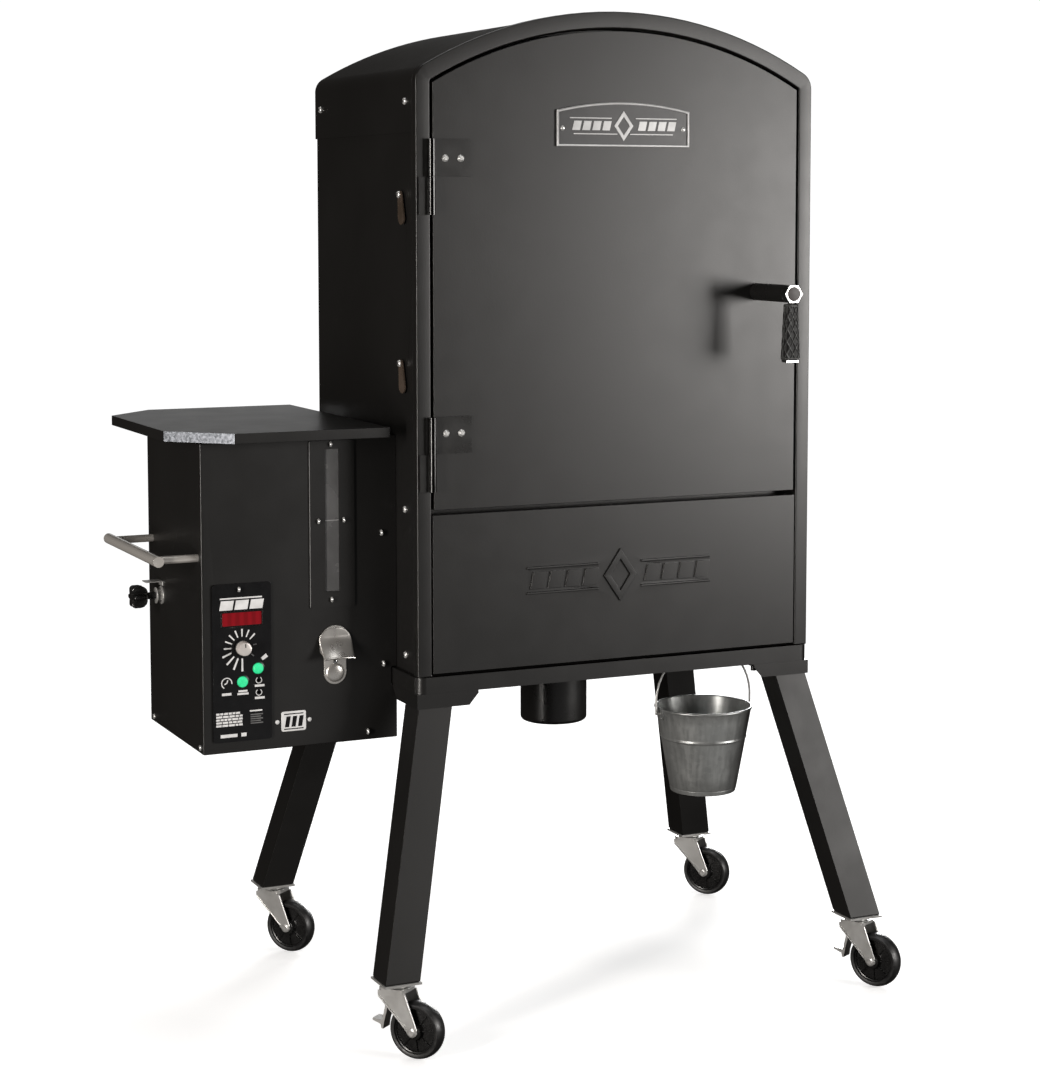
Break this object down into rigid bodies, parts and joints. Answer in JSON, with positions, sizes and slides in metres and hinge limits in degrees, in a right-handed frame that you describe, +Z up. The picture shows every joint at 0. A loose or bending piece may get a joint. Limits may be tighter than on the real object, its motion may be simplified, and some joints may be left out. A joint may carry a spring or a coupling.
{
  "type": "electric cabinet smoker",
  "caption": "Upright cabinet smoker on splayed castered legs, with an arched door and a pellet hopper that feeds its fire pot from the side.",
  "frame": {"origin": "on the floor, under the middle of the whole object", "axes": "+Z up, the door faces -Y, the hopper is on the -X side"},
  "size_m": [1.0774, 0.6178, 1.4249],
  "materials": {
    "black_powder_coat": "fine textured satin powder coat",
    "dark_inside": "baked enamel, slightly smoked",
    "zinc_plate": "zinc plated",
    "stainless": "brushed",
    "chrome_trim": "bright chrome",
    "galvanised": "galvanised sheet",
    "caster_rubber": "hard black tread",
    "grip_plastic": "moulded, cross-hatched",
    "knob_plastic": "moulded",
    "panel_face": "printed film",
    "green_button": "moulded",
    "clear_pane": "smoked clear plastic",
    "seal_rope": "woven glass rope",
    "rack_wire": "plated wire",
    "motor_steel": "grey case",
    "cast_screw": "plain steel"
  },
  "bodies": {
    "cabinet": {"front_frame": "black_powder_coat", "roof_cover": "black_powder_coat", "left_side_panel": "black_powder_coat", "right_side_panel": "black_powder_coat", "back_panel": "black_powder_coat", "base_tray": "black_powder_coat", "lower_front_panel": "black_powder_coat", "rack_rails": "dark_inside", "cooking_racks": "rack_wire", "heat_deflector": "dark_inside", "drip_tray": "dark_inside", "burn_pot": "dark_inside", "auger_tube": "motor_steel", "auger_gear_motor": "motor_steel", "fan_housing": "motor_steel", "temperature_probe": "stainless", "legs": "black_powder_coat", "leg_brackets": "black_powder_coat", "caster_plates": "zinc_plate", "hopper_shell": "black_powder_coat", "hopper_bin": "dark_inside", "window_frame": "black_powder_coat", "window_pane": "clear_pane", "control_panel": "panel_face", "bottle_opener": "stainless", "hopper_side_handle": "stainless", "power_inlet": "knob_plastic", "body_screws": "zinc_plate", "frame_hinges": "black_powder_coat", "lid_hinge_pin": "zinc_plate", "bucket_hanger": "zinc_plate"},
    "door": {"door_skin": "black_powder_coat", "door_liner": "dark_inside", "door_gasket": "seal_rope", "door_hinge_leaves": "black_powder_coat", "door_nameplate": "chrome_trim"},
    "door_handle": {"handle_shaft": "black_powder_coat", "handle_grip": "grip_plastic"},
    "lid": {"hopper_lid": "black_powder_coat"},
    "flap_upper": {"probe_flap_upper": "stainless"},
    "flap_lower": {"probe_flap_lower": "stainless"},
    "dial": {"dial_knob": "chrome_trim"},
    "button_power": {"power_button": "green_button"},
    "button_feed": {"feed_button": "green_button"},
    "cup": {"ash_cup": "black_powder_coat"},
    "bail": {"bucket_bail": "zinc_plate"},
    "bucket": {"grease_bucket": "galvanised"},
    "clean_out": {"clean_out_knob": "knob_plastic"},
    "auger": {"auger_screw": "cast_screw"},
    "fan": {"fan_impeller": "motor_steel"},
    "fork_front_left": {"caster_fork_front_left": "zinc_plate"},
    "wheel_front_left": {"caster_wheel_front_left": "caster_rubber"},
    "fork_front_right": {"caster_fork_front_right": "zinc_plate"},
    "wheel_front_right": {"caster_wheel_front_right": "caster_rubber"},
    "fork_rear_left": {"caster_fork_rear_left": "zinc_plate"},
    "wheel_rear_left": {"caster_wheel_rear_left": "caster_rubber"},
    "fork_rear_right": {"caster_fork_rear_right": "zinc_plate"},
    "wheel_rear_right": {"caster_wheel_rear_right": "caster_rubber"},
    "brake_front_left": {"caster_brake_front_left": "zinc_plate"},
    "brake_front_right": {"caster_brake_front_right": "zinc_plate"}
  },
  "joints": [
    {"name": "door_hinge", "type": "hinge", "parent": "cabinet", "child": "door", "pos_m": [-0.17122, -0.1906, 1], "axis": [0, 0, -1], "range_deg": [0, 170]},
    {"name": "handle_turn", "type": "hinge", "parent": "door", "child": "door_handle", "pos_m": [0.34078, -0.1851, 1.03], "axis": [0, 1, 0], "range_deg": [0, 90]},
    {"name": "lid_hinge", "type": "hinge", "parent": "cabinet", "child": "lid", "pos_m": [-0.33122, 0.2259, 0.831], "axis": [-1, 0, 0], "range_deg": [0, 95]},
    {"name": "flap_upper_swing", "type": "hinge", "parent": "cabinet", "child": "flap_upper", "pos_m": [-0.19122, -0.1241, 1.17], "axis": [1, 0, 0], "range_deg": [-110, 110]},
    {"name": "flap_lower_swing", "type": "hinge", "parent": "cabinet", "child": "flap_lower", "pos_m": [-0.19122, -0.1241, 0.937], "axis": [1, 0, 0], "range_deg": [-110, 110]},
    {"name": "dial_turn", "type": "hinge", "parent": "cabinet", "child": "dial", "pos_m": [-0.41622, -0.0941, 0.551], "axis": [0, 1, 0], "range_deg": [0, 270]},
    {"name": "power_button_press", "type": "slide", "parent": "cabinet", "child": "button_power", "axis": [0, 1, 0], "range_m": [0, 0.0015], "stiffness_N_per_m": 600},
    {"name": "feed_button_press", "type": "slide", "parent": "cabinet", "child": "button_feed", "axis": [0, 1, 0], "range_m": [0, 0.0015], "stiffness_N_per_m": 600},
    {"name": "ash_cup_drop", "type": "slide", "parent": "cabinet", "child": "cup", "axis": [0, 0, -1], "range_m": [0, 0.13]},
    {"name": "bail_swing", "type": "hinge", "parent": "cabinet", "child": "bail", "pos_m": [0.31078, -0.0851, 0.491], "axis": [0, 1, 0], "range_deg": [-15, 15]},
    {"name": "bucket_tip", "type": "hinge", "parent": "bail", "child": "bucket", "pos_m": [0.31078, -0.0851, 0.398], "axis": [1, 0, 0], "range_deg": [-25, 25]},
    {"name": "clean_out_turn", "type": "hinge", "parent": "cabinet", "child": "clean_out", "pos_m": [-0.47222, 0.0999, 0.599], "axis": [-1, 0, 0], "continuous": true},
    {"name": "auger_spin", "type": "hinge", "parent": "cabinet", "child": "auger", "pos_m": [-0.18122, 0.0199, 0.556], "axis": [1, 0, 0], "continuous": true},
    {"name": "fan_spin", "type": "hinge", "parent": "cabinet", "child": "fan", "pos_m": [-0.28122, 0.1149, 0.462], "axis": [1, 0, 0], "continuous": true},
    {"name": "swivel_front_left", "type": "hinge", "parent": "cabinet", "child": "fork_front_left", "pos_m": [-0.24922, -0.2421, 0.09], "axis": [0, 0, 1], "continuous": true},
    {"name": "roll_front_left", "type": "hinge", "parent": "fork_front_left", "child": "wheel_front_left", "pos_m": [-0.2289, -0.2681, 0.04], "axis": [0.788, 0.6157, 0], "continuous": true},
    {"name": "brake_press_front_left", "type": "hinge", "parent": "fork_front_left", "child": "brake_front_left", "pos_m": [-0.25415, -0.2358, 0.08], "axis": [-0.788, -0.6157, 0], "range_deg": [0, 8]},
    {"name": "swivel_front_right", "type": "hinge", "parent": "cabinet", "child": "fork_front_right", "pos_m": [0.48678, -0.2421, 0.09], "axis": [0, 0, 1], "continuous": true},
    {"name": "roll_front_right", "type": "hinge", "parent": "fork_front_right", "child": "wheel_front_right", "pos_m": [0.50227, -0.27124, 0.04], "axis": [0.8829, 0.4695, 0], "continuous": true},
    {"name": "brake_press_front_right", "type": "hinge", "parent": "fork_front_right", "child": "brake_front_right", "pos_m": [0.48302, -0.23504, 0.08], "axis": [-0.8829, -0.4695, 0], "range_deg": [0, 8]},
    {"name": "swivel_rear_left", "type": "hinge", "parent": "cabinet", "child": "fork_rear_left", "pos_m": [-0.24922, 0.2819, 0.09], "axis": [0, 0, 1], "continuous": true},
    {"name": "roll_rear_left", "type": "hinge", "parent": "fork_rear_left", "child": "wheel_rear_left", "pos_m": [-0.2289, 0.2559, 0.04], "axis": [0.788, 0.6157, 0], "continuous": true},
    {"name": "swivel_rear_right", "type": "hinge", "parent": "cabinet", "child": "fork_rear_right", "pos_m": [0.48678, 0.2819, 0.09], "axis": [0, 0, 1], "continuous": true},
    {"name": "roll_rear_right", "type": "hinge", "parent": "fork_rear_right", "child": "wheel_rear_right", "pos_m": [0.5071, 0.2559, 0.04], "axis": [0.788, 0.6157, 0], "continuous": true}
  ]
}
